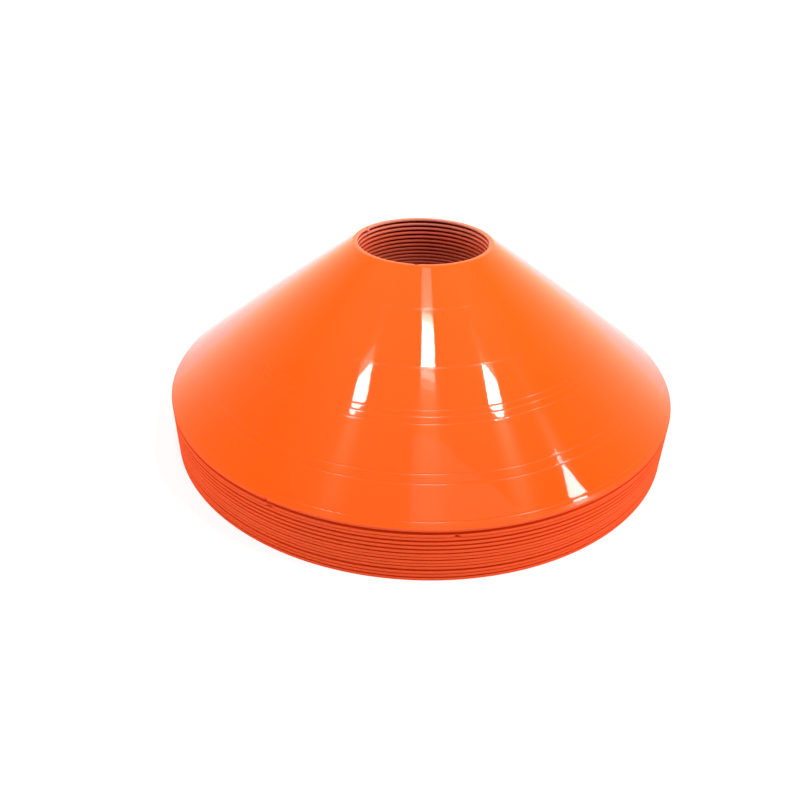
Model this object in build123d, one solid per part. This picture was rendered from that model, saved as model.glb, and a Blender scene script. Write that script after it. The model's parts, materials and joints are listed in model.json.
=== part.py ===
from build123d import *
import math
import os

# A nested stack of disc marker cones. Each cone is one thin moulding that lifts straight off the cone below it.
# Millimetres, +Z up. The origin is on the floor, at the middle of the lowest rim.

# Sizes of one cone
base_diameter = 190.0  # across the rim that it stands on
hole_diameter = 47.4  # through the open top
cone_height = 52.8  # from the floor to the top of the lip
wall_thickness = 0.85  # square to the slope
foot_width = 0.4  # flat band under the rim
lip_width = 1.5  # flat band around the hole
lip_round = 0.25  # inner edge of the lip
rim_round = 0.25  # upper edge of the rim

# Faint rings that the turned mould leaves on the outer face
ring_distances = (2.4, 11.2, 13.7, 25.8, 27.8, 29.6, 40.6, 57.2)  # inwards from the rim
ring_width = 0.5
ring_depth = 0.06

# The stack
cone_count = 14
nesting_clearance = 0.45  # air between a cone and the one below it, straight down

# Slope of a wall of this thickness that runs from the inner edge of the foot to the outer edge of the lip
base_radius = base_diameter / 2
hole_radius = hole_diameter / 2
lip_radius = hole_radius + lip_width
wall_run = base_radius - foot_width - lip_radius
wall_reach = math.hypot(cone_height, wall_run)
slope = math.acos(wall_thickness / wall_reach) - math.atan2(wall_run, cone_height)
rise = math.tan(slope)

# Straight down through the wall, the upright edge of the rim, and the spacing of the cones
wall_drop = wall_thickness / math.cos(slope)
rim_edge = wall_drop - foot_width * rise
stack_pitch = wall_drop + nesting_clearance

# The lip is as thick as the wall, and its level underside meets the underside of the wall here
lip_underside = cone_height - wall_thickness
bend_radius = lip_radius - (wall_drop - wall_thickness) / rise


def outer_height(radius):
    """Height of the outer face above the floor that its cone stands on."""
    return rim_edge + (base_radius - radius) * rise


def ring_points(radius):
    """A shallow groove in the outer face, from its inner edge to its outer edge."""
    half_width = ring_width / 2
    floor_height = outer_height(radius) - ring_depth / math.cos(slope)
    return [
        (radius - half_width, outer_height(radius - half_width)),
        (radius, floor_height),
        (radius + half_width, outer_height(radius + half_width)),
    ]


def ring_radii():
    """The rings that lie on the wall, from the lip out to the rim."""
    innermost = lip_radius + ring_width
    outermost = base_radius - rim_round - ring_width
    radii = sorted(base_radius - distance for distance in ring_distances)
    return [radius for radius in radii if innermost < radius < outermost]


def cone_section():
    """Half of a cone, cut through its axis: X is the radius and Y the height."""
    lip_corner = (hole_radius, cone_height)
    rim_corner = (base_radius, rim_edge)
    outline = [lip_corner, (lip_radius, cone_height)]
    for radius in ring_radii():
        outline += ring_points(radius)
    outline += [rim_corner, (base_radius, 0), (base_radius - foot_width, 0)]
    outline += [(bend_radius, lip_underside), (hole_radius, lip_underside)]
    section = make_face(Polyline(*outline, close=True))
    section = fillet(section.vertices().sort_by_distance(lip_corner)[:1], lip_round)
    return fillet(section.vertices().sort_by_distance(rim_corner)[:1], rim_round)


def marker_cone():
    """One cone, standing on the floor."""
    return revolve(Plane.XZ * cone_section(), Axis.Z)


# One file for each cone, counted from the floor
os.makedirs("parts", exist_ok=True)
cone = marker_cone()
for index in range(cone_count):
    nested = Pos(0, 0, index * stack_pitch) * cone
    export_step(nested, f"parts/cone_{index + 1:02d}.step")

print(f"slope {math.degrees(slope):.2f} deg, pitch {stack_pitch:.3f} mm")
print(f"rim edge {rim_edge:.3f} mm, lip {lip_underside:.3f} to {cone_height:.3f} mm")
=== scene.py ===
import json
import math
import random

import bpy
from mathutils import Matrix, Vector


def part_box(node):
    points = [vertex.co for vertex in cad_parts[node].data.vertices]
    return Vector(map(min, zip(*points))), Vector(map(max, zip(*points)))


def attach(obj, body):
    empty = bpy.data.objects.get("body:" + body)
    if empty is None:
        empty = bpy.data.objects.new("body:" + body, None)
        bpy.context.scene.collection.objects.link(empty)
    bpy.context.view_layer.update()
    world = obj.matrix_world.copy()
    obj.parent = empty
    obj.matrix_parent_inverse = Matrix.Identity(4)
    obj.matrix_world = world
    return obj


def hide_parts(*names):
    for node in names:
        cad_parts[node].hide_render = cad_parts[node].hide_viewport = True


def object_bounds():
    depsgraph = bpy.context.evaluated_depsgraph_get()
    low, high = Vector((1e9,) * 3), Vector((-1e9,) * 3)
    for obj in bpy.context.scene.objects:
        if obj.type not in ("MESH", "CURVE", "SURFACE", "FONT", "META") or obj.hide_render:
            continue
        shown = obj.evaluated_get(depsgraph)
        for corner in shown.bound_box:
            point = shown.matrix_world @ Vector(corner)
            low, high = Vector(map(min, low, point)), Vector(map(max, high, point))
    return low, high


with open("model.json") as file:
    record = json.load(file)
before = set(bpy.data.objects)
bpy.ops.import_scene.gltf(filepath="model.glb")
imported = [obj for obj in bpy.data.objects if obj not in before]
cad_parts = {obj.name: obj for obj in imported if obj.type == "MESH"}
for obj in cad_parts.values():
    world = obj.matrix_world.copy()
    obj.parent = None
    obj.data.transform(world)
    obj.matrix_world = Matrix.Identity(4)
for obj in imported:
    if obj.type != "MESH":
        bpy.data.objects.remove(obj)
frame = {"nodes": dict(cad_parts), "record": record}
cad_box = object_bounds()

# A nested stack of orange disc marker cones on a white floor. Metres, +Z up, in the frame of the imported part.
# Azimuth 0 is the front, which faces -Y, and it grows towards +X.
mm = 0.001

# Sizes of one cone that the frame doesn't give
wall_thickness = 0.85 * mm
foot_width = 0.4 * mm
lip_width = 1.5 * mm
lip_round = 0.30 * mm
lip_shoulder_round = 1.4 * mm
lip_under_round = 0.15 * mm
bend_round = 0.3 * mm
rim_round = 0.14 * mm
foot_round = 0.06 * mm

# Rings that the turned mould leaves on the outer face: distance inwards from the rim, and depth
rings = (
    (1.9 * mm, 0.030 * mm),
    (10.7 * mm, 0.030 * mm),
    (13.1 * mm, 0.030 * mm),
    (25.4 * mm, 0.030 * mm),
    (27.3 * mm, 0.025 * mm),
    (29.0 * mm, 0.030 * mm),
    (40.1 * mm, 0.008 * mm),
    (56.7 * mm, 0.008 * mm),
)
ring_half_width = 0.20 * mm
ring_clear = 2 * ring_half_width
ring_samples = (-1.8, -1.0, -0.7, -0.35, 0.0, 0.35, 0.7, 1.0, 1.8)

# The wall is very slightly domed, in flats that meet at some rings: distance inwards from the rim, and lift
dome = (
    (0.0, 0.0),
    (25.4 * mm, 0.512 * mm),
    (40.1 * mm, 0.586 * mm),
    (56.7 * mm, 0.253 * mm),
    (69.8 * mm, 0.0),
)

# How high each rim sits, in millimetres, counted from the floor. The thin rims give a little.
rim_sags = (
    0.0, 0.02, -0.24, 0.05, -0.10, -0.45, -0.55,
    -0.91, -0.94, -0.81, -0.73, -0.51, -0.87, -0.29,
)

# How the holes sag in the middle of the stack, drop at the back, and lean across and along at the top
hole_sag = 0.85 * mm
hole_tilt = 0.50 * mm
stack_lean = (-0.53 * mm, 0.30 * mm)

# Slight waves of the rims: height, and how many there are in a turn
wave_height = 0.012 * mm
wave_counts = (2, 3, 5)

# Marks on edges: cone counted from 0, edge, azimuth in degrees, half width, cut back, and lift underneath
marks = (
    (12, "rim", -27.6, 2.2 * mm, 0.35 * mm, 0.50 * mm),
    (12, "rim", 7.5, 1.4 * mm, 0.3 * mm, 0.60 * mm),
    (13, "rim", -28.5, 0.6 * mm, 0.35 * mm, 0.15 * mm),
    (13, "lip", -4.4, 1.2 * mm, 1.0 * mm, 0.0),
    (13, "lip", -118.0, 0.9 * mm, -0.8 * mm, -0.55 * mm),
)
mark_reach = 1.2 * mm
mark_clear = 1.2
mark_samples = (-1.0, -0.66, -0.33, 0.0, 0.33, 0.66, 1.0)

# How finely the mesh is cut
turn_count = 192
wall_spacing = 5.0 * mm
edge_support = 0.15 * mm
shortest_run = 3 * edge_support
round_steps = 4

# How rough the turned finish is, in bands from the lip out: radius that a band starts at, and roughness
finish_bands = ((0.0, 0.08), (54.9 * mm, 0.155), (69.6 * mm, 0.21))

# How the turned finish shines: strength, tint, how far it is stretched, and which way, as a share of a turn
turned_shine = 0.05
turned_tint = (1.0, 0.97, 0.62, 1.0)
turned_stretch = 0.95
turned_direction = 0.25

# The coat of gloss over it, which the cut edges and the covered rims don't have
full_coat = 1.0
no_coat = 0.0
coat_ior = 1.25
wall_gloss = 0.03
ring_gloss = 0.20

# How deep the matt cut edges are, and how wide a strip along the rim is dull with painted shade, or rough on
# the top cone
cut_rim_depth = 0.20 * mm
cut_lip_depth = 0.15 * mm
rim_band = 1.05 * mm

# Numbers of the finishes in a cone's mesh
wall_finish = 0
ring_finish = 1
# The cut finish paints a sheen on the rim edges, and glare and shade on the hole edges
cut_finish = 2
# The dull finish paints the shade of the gaps onto the covered rims
dull_painted_shade_finish = 3

# Colours, linear. The wall's orange is a little deeper towards the rim.
orange_light = (0.97, 0.119, 0.0049, 1.0)
orange_deep = (0.92, 0.097, 0.0022, 1.0)
# Painted sheen: the cut rim edge is coloured paler than the wall, in place of the gloss it lacks
cut_rim_painted_sheen = (0.96, 0.115, 0.033, 1.0)
# Painted shade: the covered rims are coloured darker where the gaps between the cones are shaded
painted_gap_shade = (0.90, 0.055, 0.006, 1.0)
floor_white = (0.88, 0.88, 0.88, 1.0)
floor_seen = (0.30, 0.30, 0.30, 1.0)
plain_white = (1.0, 1.0, 1.0, 1.0)

# How the orange is mottled
tint_mottle = 0.5
mottle_scale = 28.0
mottle_detail = 3.0

# The cut edges of the holes, painted darker deep in the stack as its shade, and paler at its top as glare:
# height, and colour
painted_lip_glare_and_shade = (
    (60.5 * mm, (0.60, 0.135, 0.080, 1.0)),
    (66.0 * mm, (0.85, 0.170, 0.095, 1.0)),
    (71.5 * mm, (0.95, 0.360, 0.270, 1.0)),
)

# Light that falls on things: a soft room that is brighter at the back and the sides, and dimmer overhead
room_middle = 0.37
room_back = 1.20
room_sides = 2.70
room_sides_power = 4.0
room_overhead = 0.28
room_overhead_reach = (0.50, 0.90)

# What the gloss mirrors: a warm room that is bright at the back and overhead
mirrored_tint = (1.0, 1.0, 0.76, 1.0)
mirrored_least = 0.38
mirrored_most = 1.30
mirrored_back = (0.20, 0.85)
mirrored_ceiling = (0.65, 0.90)

# What the camera sees behind the stack
backdrop_glow = 1.0

# Lamps in a row on the ceiling: middle, size, and brightness
ceiling_height = 1.6
lamps = (
    ((-0.680, -0.368), (0.165, 0.125), 76.0),
    ((0.105, -0.326), (0.165, 0.125), 104.0),
    ((0.890, -0.267), (0.165, 0.158), 104.0),
    ((1.770, -0.248), (0.270, 0.166), 56.0),
)

# Dim panels beside the lamps: middle, size, and brightness
panels = (
    ((0.098, -0.251), (0.165, 0.025), 32.5),
    ((0.090, -0.165), (0.19, 0.15), 5.6),
    ((0.166, -0.860), (0.42, 0.28), 1.1),
    ((0.166, -0.820), (0.42, 0.36), 1.0),
    ((-0.680, -0.255), (0.165, 0.10), 5.6),
    ((0.890, -0.163), (0.165, 0.05), 5.6),
    ((1.615, -0.168), (0.060, 0.050), 30.0),
    ((0.700, -0.780), (0.64, 0.24), 1.0),
    ((0.105, -0.441), (0.165, 0.025), 18.0),
    ((0.105, -0.467), (0.165, 0.027), 4.5),
)

# The floor gives back light as white does. Where it is seen it glows up to white, with a trace of shadow.
floor_radius = 6.0
floor_glow_near = 0.72
floor_glow_far = 1.0
floor_near = 0.15
floor_far = 0.9

# Camera, at the photograph's angle
camera_place = (0.0, -0.25415, 0.16453)
camera_lens = 33.18
camera_sensor = 36.0
camera_pitch = 0.5627
camera_yaw = -0.0306
camera_roll = 0.0190
camera_nearest = 0.01
camera_farthest = 20.0

# Sockets of a Mix node that mixes colours
mix_first = 6
mix_second = 7
mix_result = 2

# Sizes that the frame gives
cone_names = sorted(frame["nodes"])
top_index = len(cone_names) - 1
first_low, first_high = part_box(cone_names[0])
second_low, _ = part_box(cone_names[1])
base_radius = min(-first_low.x, -first_low.y, first_high.x, first_high.y)
cone_height = first_high.z - first_low.z
stack_pitch = second_low.z - first_low.z
stack_height = cad_box[1].z
post_hole = next(mount for mount in frame["record"]["mounts"] if mount["name"] == "post_hole")
hole_radius = post_hole["dims"]["r_mm"] * mm
lip_radius = hole_radius + lip_width

# Slope of a wall of this thickness between the inner edge of the foot and the outer edge of the lip
inner_foot = base_radius - foot_width
wall_run = inner_foot - lip_radius
slope = math.acos(wall_thickness / math.hypot(cone_height, wall_run)) - math.atan2(wall_run, cone_height)
rise = math.tan(slope)
wall_drop = wall_thickness / math.cos(slope)
rim_edge = wall_drop - foot_width * rise
lip_underside = cone_height - wall_thickness
bend_radius = lip_radius - (wall_drop - wall_thickness) / rise

# Corners of a cone's section, from the lip round by the rim and the underside: radius, height, and round
section_corners = (
    (hole_radius, cone_height, lip_round),
    (lip_radius, cone_height, lip_shoulder_round),
    (base_radius, rim_edge, rim_round),
    (base_radius, 0.0, foot_round),
    (inner_foot, 0.0, foot_round),
    (bend_radius, lip_underside, bend_round),
    (hole_radius, lip_underside, lip_under_round),
)
shoulder_corner = 1


def dome_lift(radius):
    """How far the domed wall stands above a straight one."""
    distance = base_radius - radius
    for (near, near_lift), (far, far_lift) in zip(dome, dome[1:]):
        if near <= distance <= far:
            return near_lift + (far_lift - near_lift) * (distance - near) / (far - near)
    return 0.0


def outer_height(radius):
    """Height of a straight outer face above the floor that its cone stands on."""
    return rim_edge + (base_radius - radius) * rise


def under_height(radius):
    """Height of the underside, which is level along the foot."""
    return max(0.0, outer_height(radius) - wall_drop)


def rounded_corner(before, corner, after, radius):
    """Points of a corner that is rounded between its two neighbours."""
    back = (before - corner).normalized()
    on = (after - corner).normalized()
    half_angle = back.angle(on) / 2
    centre = corner + (back + on).normalized() * radius / math.sin(half_angle)
    start = corner + back * radius / math.tan(half_angle) - centre
    end = corner + on * radius / math.tan(half_angle) - centre
    angle = start.angle(end)
    points = []
    for step in range(round_steps + 1):
        share = step / round_steps
        spoke = start * math.sin((1 - share) * angle) + end * math.sin(share * angle)
        points.append(centre + spoke / math.sin(angle))
    return points


def groove_depth(radius):
    """How deep the rings are cut into the outer face at a radius."""
    depth = 0.0
    for distance, deepest in rings:
        offset = (radius - base_radius + distance) / ring_half_width
        if abs(offset) < 1:
            depth += deepest * (1 + math.cos(math.pi * offset)) / 2
    return depth


def wall_radii(inner, outer):
    """Where the outer face is cut: evenly, closely across each ring, and at the edge of the rim's strip."""
    count = math.ceil((outer - inner) / wall_spacing)
    radii = [inner + (outer - inner) * step / count for step in range(1, count)]
    for distance, _ in rings:
        ring = base_radius - distance
        radii = [radius for radius in radii if abs(radius - ring) > ring_clear]
        radii += [ring + sample * ring_half_width for sample in ring_samples]
    return sorted(radii + [base_radius - rim_band])


def run_between(start, end):
    """Points of a straight run, with one close to each end so that the rounds stay small."""
    length = (end - start).length
    if length < shortest_run:
        return []
    count = math.ceil(length / wall_spacing)
    shares = [edge_support / length]
    shares += [step / count for step in range(1, count)]
    shares += [1 - edge_support / length]
    return [start.lerp(end, share) for share in shares]


def outer_run(first, last):
    """Points of the outer face between two points of it, with the rings cut into it."""
    run = [first]
    for radius in wall_radii(first.x, last.x):
        if first.x + edge_support < radius < last.x - edge_support:
            height = outer_height(radius) - groove_depth(radius) / math.cos(slope)
            run.append(Vector((radius, height)))
    return run + [last]


def cone_section():
    """Half of a cone, cut through its axis, as (radius, height) points in the order of its corners."""
    corners = [Vector((radius, height)) for radius, height, _ in section_corners]
    rounds = [size for _, _, size in section_corners]
    count = len(corners)
    bends = []
    for index, corner in enumerate(corners):
        before = corners[index - 1]
        after = corners[(index + 1) % count]
        bends.append(rounded_corner(before, corner, after, rounds[index]))
    section = []
    for index, bend in enumerate(bends):
        run = run_between(bend[-1], bends[(index + 1) % count][0])
        if index == shoulder_corner:
            run = outer_run(run[0], run[-1])
        section += bend + run
    return [Vector((point.x, point.y + dome_lift(point.x))) for point in section]


def sit(index, radius, azimuth, waves):
    """How far a cone is lifted at one point by the way it sits on the cone below."""
    outwards = (radius - hole_radius) / (base_radius - hole_radius)
    middle = math.sin(math.pi * index / top_index)
    drop = hole_sag * middle + hole_tilt * (1 - math.cos(azimuth)) / 2
    level = -drop * (1 - outwards) + rim_sags[index] * mm * outwards
    wave = sum(wave_height * math.sin(count * azimuth + phase) for count, phase in waves)
    return level + wave * outwards * middle


def edge_radius(edge):
    """Radius of the rim or of the lip's inner edge."""
    return base_radius if edge == "rim" else hole_radius


def turn_angles(index):
    """Azimuths at which a cone is cut: evenly, and closely across each of its marks."""
    angles = [math.tau * turn / turn_count for turn in range(turn_count)]
    for cone, edge, degrees, half_width, _, _ in marks:
        if cone == index:
            middle = math.radians(degrees) % math.tau
            half_angle = half_width / edge_radius(edge)
            angles = [angle for angle in angles if abs(angle - middle) > mark_clear * half_angle]
            angles += [middle + sample * half_angle for sample in mark_samples]
    return sorted(angles)


def mark_shift(index, radius, height, azimuth):
    """How far a point is moved by the marks of its cone: outwards, and up."""
    outwards, upwards = 0.0, 0.0
    for cone, edge, degrees, half_width, cut, lift in marks:
        across = (azimuth - math.radians(degrees) % math.tau) * edge_radius(edge) / half_width
        near = 1 - abs(radius - edge_radius(edge)) / mark_reach
        if cone == index and abs(across) < 1 and near > 0:
            share = near * (1 + math.cos(math.pi * across)) / 2
            outwards += share * (-cut if edge == "rim" else cut)
            if height < outer_height(radius) - wall_drop / 2:
                upwards += share * lift
    return outwards, upwards


def step_finish(index, start, end):
    """Number of the finish that one step of a cone's section has."""
    middle = (start + end) / 2
    if middle.x > base_radius - cut_rim_depth or middle.x < hole_radius + cut_lip_depth:
        return cut_finish
    outer = middle.y > under_height(middle.x) + wall_drop / 2
    if outer and middle.x > base_radius - rim_band:
        # Covered rims below the top cone are dull and painted darker as the shade of the gaps
        return dull_painted_shade_finish if index < top_index else ring_finish
    if outer and groove_depth(middle.x) > 0:
        return ring_finish
    return wall_finish


def cone_points(index, section, angles):
    """Points of a cone's mesh, one section after the other around its axis."""
    chance = random.Random(index + 1)
    waves = [(count, chance.uniform(0, math.tau)) for count in wave_counts]
    foot = first_low.z + index * stack_pitch
    points = []
    for azimuth in angles:
        for radius, height in section:
            lift = sit(index, radius, azimuth, waves)
            lean = index / top_index * (base_radius - radius) / (base_radius - hole_radius)
            outwards, upwards = mark_shift(index, radius, height, azimuth)
            across = (radius + outwards) * math.sin(azimuth) + stack_lean[0] * lean
            along = -(radius + outwards) * math.cos(azimuth) + stack_lean[1] * lean
            points.append((across, along, foot + height + lift + upwards))
    return points


def cone_faces(ring, turns):
    """Faces between neighbouring sections of a cone, which has so many points in each section."""
    faces = []
    for turn in range(turns):
        here = turn * ring
        there = (turn + 1) % turns * ring
        for step in range(ring):
            after = (step + 1) % ring
            faces.append((here + step, here + after, there + after, there + step))
    return faces


def unwrap(mesh, section, angles):
    """Lays the cone out flat: across is the turn, and up is the way round the section."""
    ring = len(section)
    lengths = [0.0]
    for step in range(ring):
        lengths.append(lengths[-1] + (section[(step + 1) % ring] - section[step]).length)
    layer = mesh.uv_layers.new(name="OFBake")
    spots = []
    for left_angle, right_angle in zip(angles, angles[1:] + [math.tau]):
        left, right = left_angle / math.tau, right_angle / math.tau
        for step in range(ring):
            low, high = lengths[step] / lengths[-1], lengths[step + 1] / lengths[-1]
            spots += [left, low, left, high, right, high, right, low]
    layer.data.foreach_set("uv", spots)


def make_cone(index, name, materials):
    """One cone as a closed mesh that rides on its own body."""
    section = cone_section()
    angles = turn_angles(index)
    mesh = bpy.data.meshes.new(name + "_shell")
    mesh.from_pydata(cone_points(index, section, angles), [], cone_faces(len(section), len(angles)))
    unwrap(mesh, section, angles)
    mesh.shade_smooth()
    for material in materials:
        mesh.materials.append(material)
    steps = zip(section, section[1:] + section[:1])
    finish = [step_finish(index, start, end) for start, end in steps]
    mesh.polygons.foreach_set("material_index", finish * len(angles))
    piece = bpy.data.objects.new(name + "_shell", mesh)
    bpy.context.scene.collection.objects.link(piece)
    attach(piece, name)
    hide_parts(name)


def add_node(tree, kind, inputs, **settings):
    """A shader node with its settings, and with each input linked to an output or set to a value."""
    node = tree.nodes.new(kind)
    for name, value in settings.items():
        setattr(node, name, value)
    for socket, value in inputs.items():
        if isinstance(value, bpy.types.NodeSocket):
            tree.links.new(value, node.inputs[socket])
        else:
            node.inputs[socket].default_value = value
    return node


def maths(tree, operation, *values, use_clamp=False):
    """What a Math node makes of some outputs or values."""
    inputs = dict(enumerate(values))
    return add_node(tree, "ShaderNodeMath", inputs, operation=operation, use_clamp=use_clamp).outputs[0]


def smooth_step(tree, value, reach, least, most):
    """A value that grows smoothly from the least to the most as another one crosses its reach."""
    inputs = {"Value": value, "From Min": reach[0], "From Max": reach[1], "To Min": least, "To Max": most}
    step = add_node(tree, "ShaderNodeMapRange", inputs, interpolation_type="SMOOTHSTEP")
    return step.outputs["Result"]


def blend(tree, factor, first, second):
    """A number between two others."""
    inputs = {"Factor": factor, "A": first, "B": second}
    return add_node(tree, "ShaderNodeMix", inputs, data_type="FLOAT").outputs["Result"]


def blend_colour(tree, factor, first, second):
    """A colour between two others."""
    inputs = {"Factor": factor, mix_first: first, mix_second: second}
    return add_node(tree, "ShaderNodeMix", inputs, data_type="RGBA").outputs[mix_result]


def colour_ramp(tree, value, stops, interpolation):
    """A colour that a value picks from stops, each one a place and a colour."""
    ramp = add_node(tree, "ShaderNodeValToRGB", {"Fac": value})
    ramp.color_ramp.interpolation = interpolation
    elements = ramp.color_ramp.elements
    for number, (place, colour) in enumerate(stops):
        element = elements[number] if number < len(elements) else elements.new(1.0)
        element.position = place
        element.color = colour
    return ramp.outputs["Color"]


def radius_share(tree, place):
    """Distance from the stack's axis, as a share of the rim's radius."""
    without_height = (1.0, 1.0, 0.0)
    flat = add_node(tree, "ShaderNodeVectorMath", {0: place, 1: without_height}, operation="MULTIPLY")
    outwards = add_node(tree, "ShaderNodeVectorMath", {0: flat.outputs["Vector"]}, operation="LENGTH")
    return maths(tree, "DIVIDE", outwards.outputs["Value"], base_radius)


def lip_painted_glare_and_shade(tree, place):
    """Colour of the cut edges of the holes, by height in the stack: painted shade deep in it and painted glare
    at its top.
    """
    parts = add_node(tree, "ShaderNodeSeparateXYZ", {"Vector": place})
    share = maths(tree, "DIVIDE", parts.outputs["Z"], stack_height)
    stops = [(height / stack_height, colour) for height, colour in painted_lip_glare_and_shade]
    return colour_ramp(tree, share, stops, "LINEAR")


def deepening(tree, place, share):
    """How deep the orange is: more towards the rim, and slightly mottled."""
    noise = {"Vector": place, "Scale": mottle_scale, "Detail": mottle_detail}
    patches = add_node(tree, "ShaderNodeTexNoise", noise)
    mottle = maths(tree, "MULTIPLY_ADD", patches.outputs["Fac"], tint_mottle, -tint_mottle / 2)
    reach = {"Value": share, "From Min": lip_radius / base_radius, "From Max": 1.0}
    depth = add_node(tree, "ShaderNodeMapRange", reach)
    return maths(tree, "ADD", mottle, depth.outputs["Result"], use_clamp=True)


def orange_plastic(name, rim_colour_sheen_or_shade, coat, gloss):
    """Moulded plastic that keeps the fine turned finish of its mould, under a coat of gloss or bare. The bare
    finishes carry painted shade, sheen and glare.
    """
    material = bpy.data.materials.new(name)
    material.use_nodes = True
    tree = material.node_tree
    shader = tree.nodes["Principled BSDF"]
    place = add_node(tree, "ShaderNodeTexCoord", {}).outputs["Object"]
    share = radius_share(tree, place)
    bands = [(radius / base_radius, (rough, rough, rough, 1.0)) for radius, rough in finish_bands]
    roughness = colour_ramp(tree, share, bands, "CONSTANT")
    # The bare finishes take the painted glare and shade of the hole edges at the lip end
    light = lip_painted_glare_and_shade(tree, place) if coat == no_coat else orange_light
    tint = blend_colour(tree, deepening(tree, place, share), light, rim_colour_sheen_or_shade)
    turned = add_node(tree, "ShaderNodeTangent", {}, direction_type="RADIAL", axis="Z")
    tree.links.new(roughness, shader.inputs["Roughness"])
    tree.links.new(tint, shader.inputs["Base Color"])
    tree.links.new(turned.outputs["Tangent"], shader.inputs["Tangent"])
    shader.inputs["Anisotropic"].default_value = turned_stretch
    shader.inputs["Anisotropic Rotation"].default_value = turned_direction
    shader.inputs["Specular IOR Level"].default_value = turned_shine * coat
    shader.inputs["Specular Tint"].default_value = turned_tint
    shader.inputs["Coat Weight"].default_value = coat
    shader.inputs["Coat Roughness"].default_value = gloss
    shader.inputs["Coat IOR"].default_value = coat_ior
    return material


def seen_rays(tree, path):
    """1 for what the camera sees, straight or in a reflection, and 0 for the light that falls on things."""
    mirrored = maths(tree, "ADD", path.outputs["Is Camera Ray"], path.outputs["Is Glossy Ray"])
    return maths(tree, "ADD", mirrored, path.outputs["Is Transmission Ray"], use_clamp=True)


def floor_material():
    """White for the light that falls on it, and where it is seen pale with a glow that grows outwards."""
    material = bpy.data.materials.new("floor_pale")
    material.use_nodes = True
    tree = material.node_tree
    tree.nodes.remove(tree.nodes["Principled BSDF"])
    path = add_node(tree, "ShaderNodeLightPath", {})
    place = add_node(tree, "ShaderNodeTexCoord", {})
    away = add_node(tree, "ShaderNodeVectorMath", {0: place.outputs["Object"]}, operation="LENGTH")
    reach = (floor_near, floor_far)
    strength = smooth_step(tree, away.outputs["Value"], reach, floor_glow_near, floor_glow_far)
    white = add_node(tree, "ShaderNodeBsdfDiffuse", {"Color": floor_white})
    matt = add_node(tree, "ShaderNodeBsdfDiffuse", {"Color": floor_seen})
    glow = add_node(tree, "ShaderNodeEmission", {"Strength": strength})
    seen = add_node(tree, "ShaderNodeAddShader", {0: matt.outputs["BSDF"], 1: glow.outputs["Emission"]})
    choice = {"Fac": seen_rays(tree, path), 1: white.outputs["BSDF"], 2: seen.outputs["Shader"]}
    surface = add_node(tree, "ShaderNodeMixShader", choice)
    tree.links.new(surface.outputs["Shader"], tree.nodes["Material Output"].inputs["Surface"])
    return material


def white_floor():
    """A wide pale floor that keeps a trace of the stack's soft shadow."""
    turns = [math.tau * step / turn_count for step in range(turn_count)]
    edge = [(floor_radius * math.cos(turn), floor_radius * math.sin(turn), cad_box[0].z) for turn in turns]
    mesh = bpy.data.meshes.new("floor")
    mesh.from_pydata(edge, [], [range(turn_count)])
    mesh.materials.append(floor_material())
    floor = bpy.data.objects.new("floor", mesh)
    bpy.context.scene.collection.objects.link(floor)


def falling_light(tree, towards):
    """How bright the room is for the light that falls on things."""
    aside = maths(tree, "POWER", towards.outputs["X"], room_sides_power)
    sides = maths(tree, "MULTIPLY_ADD", aside, room_sides, room_middle)
    back = maths(tree, "MULTIPLY_ADD", towards.outputs["Y"], room_back, sides)
    around = maths(tree, "MAXIMUM", back, 0.0)
    overhead = smooth_step(tree, towards.outputs["Z"], room_overhead_reach, 0.0, 1.0)
    return blend(tree, overhead, around, room_overhead)


def mirrored_light(tree, towards):
    """How bright the room is in the gloss."""
    back = smooth_step(tree, towards.outputs["Y"], mirrored_back, mirrored_least, mirrored_most)
    ceiling = smooth_step(tree, towards.outputs["Z"], mirrored_ceiling, mirrored_least, mirrored_most)
    return maths(tree, "MAXIMUM", back, ceiling)


def room_light():
    """A room that looks white, lights the stack least from the front, and is warmer where it is mirrored."""
    world = bpy.data.worlds.new("room")
    bpy.context.scene.world = world
    world.use_nodes = True
    tree = world.node_tree
    sky = tree.nodes["Background"]
    path = add_node(tree, "ShaderNodeLightPath", {})
    place = add_node(tree, "ShaderNodeTexCoord", {})
    towards = add_node(tree, "ShaderNodeSeparateXYZ", {"Vector": place.outputs["Generated"]})
    look = blend(tree, path.outputs["Is Camera Ray"], mirrored_light(tree, towards), backdrop_glow)
    strength = blend(tree, seen_rays(tree, path), falling_light(tree, towards), look)
    tint = blend_colour(tree, path.outputs["Is Glossy Ray"], plain_white, mirrored_tint)
    tree.links.new(tint, sky.inputs["Color"])
    tree.links.new(strength, sky.inputs["Strength"])


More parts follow.
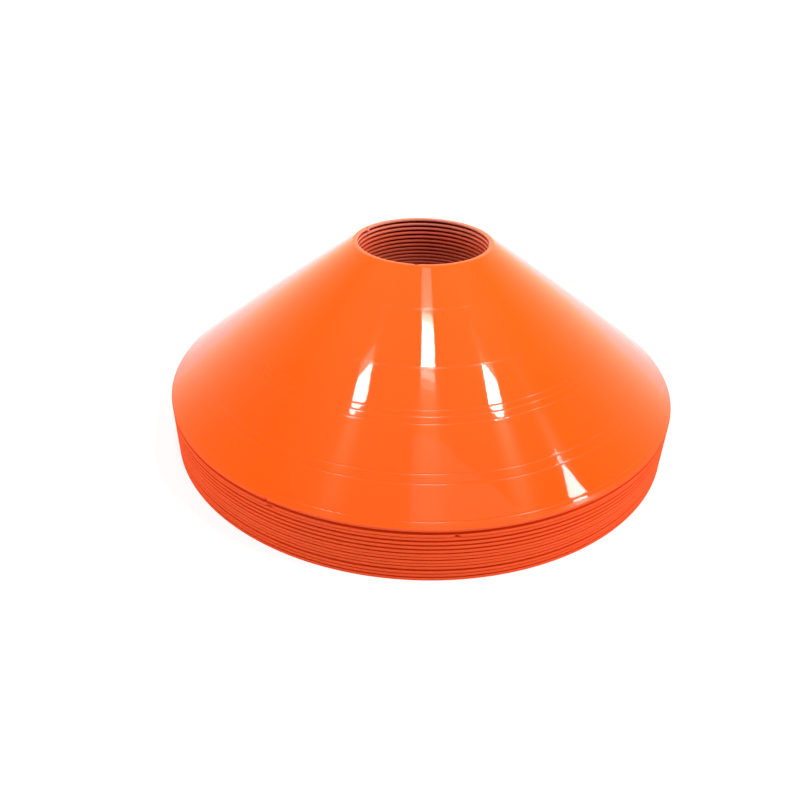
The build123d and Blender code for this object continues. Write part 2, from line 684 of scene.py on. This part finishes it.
def ceiling_lamp(name, middle, size, radiance):
    """A flat lamp in the ceiling, facing the floor."""
    lamp = bpy.data.lights.new(name, "AREA")
    lamp.shape = "RECTANGLE"
    lamp.size, lamp.size_y = size
    lamp.energy = radiance * math.pi * size[0] * size[1]
    holder = bpy.data.objects.new(name, lamp)
    holder.location = (middle[0], middle[1], ceiling_height)
    holder.visible_camera = False
    bpy.context.scene.collection.objects.link(holder)


def ceiling_lamps():
    """The row of lamps that the top cone mirrors, and the dim panels beside them."""
    for number, (middle, size, radiance) in enumerate(lamps, 1):
        ceiling_lamp(f"lamp_{number}", middle, size, radiance)
    for number, (middle, size, radiance) in enumerate(panels, 1):
        ceiling_lamp(f"panel_{number}", middle, size, radiance)


def photo_camera():
    """The camera where the photograph was taken from."""
    ahead = Vector((
        math.sin(camera_yaw) * math.cos(camera_pitch),
        math.cos(camera_yaw) * math.cos(camera_pitch),
        -math.sin(camera_pitch),
    ))
    level = Vector((math.cos(camera_yaw), -math.sin(camera_yaw), 0.0))
    upright = level.cross(ahead)
    right = math.cos(camera_roll) * level + math.sin(camera_roll) * upright
    up = -math.sin(camera_roll) * level + math.cos(camera_roll) * upright
    facing = Matrix((right, up, -ahead)).transposed().to_4x4()
    data = bpy.data.cameras.new("camera")
    data.lens = camera_lens
    data.sensor_width = camera_sensor
    data.clip_start = camera_nearest
    data.clip_end = camera_farthest
    camera = bpy.data.objects.new("camera", data)
    camera.matrix_world = Matrix.Translation(camera_place) @ facing
    bpy.context.scene.collection.objects.link(camera)
    bpy.context.scene.camera = camera


bpy.context.scene.view_settings.view_transform = "Standard"
photo_camera()
finishes = (
    orange_plastic("orange_plastic", orange_deep, full_coat, wall_gloss),
    orange_plastic("orange_plastic_ring", orange_deep, full_coat, ring_gloss),
    # The cut finish paints a sheen on the rim edges, and glare and shade on the hole edges
    orange_plastic("orange_plastic_cut_painted_glare", cut_rim_painted_sheen, no_coat, wall_gloss),
    # The dull finish paints the shade of the gaps between the rims
    orange_plastic("orange_plastic_dull_painted_shade", painted_gap_shade, no_coat, wall_gloss),
)
for order, cone in enumerate(cone_names):
    make_cone(order, cone, finishes)
white_floor()
room_light()
ceiling_lamps()
